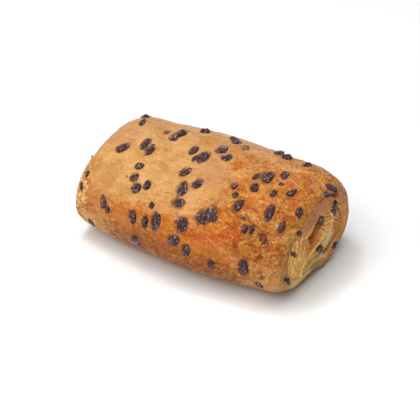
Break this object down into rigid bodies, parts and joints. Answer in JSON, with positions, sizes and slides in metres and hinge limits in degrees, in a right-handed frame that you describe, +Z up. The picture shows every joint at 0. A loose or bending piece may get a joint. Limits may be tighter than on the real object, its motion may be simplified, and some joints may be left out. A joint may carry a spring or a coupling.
{
  "type": "raisin swirl pastry",
  "caption": "Rolled log of laminated raisin pastry, golden brown and domed, with raisins in its crust and a flattened swirl of layers at both cut ends.",
  "frame": {"origin": "centre of the resting face under the roll", "axes": "+X along the roll towards the end that shows in the picture, +Y to the back, +Z up through the crest"},
  "size_m": [0.1186, 0.0821, 0.0505],
  "materials": {
    "crust": "baked, egg-washed, satin"
  },
  "bodies": {
    "root": {"pastry": "crust"}
  },
  "joints": []
}
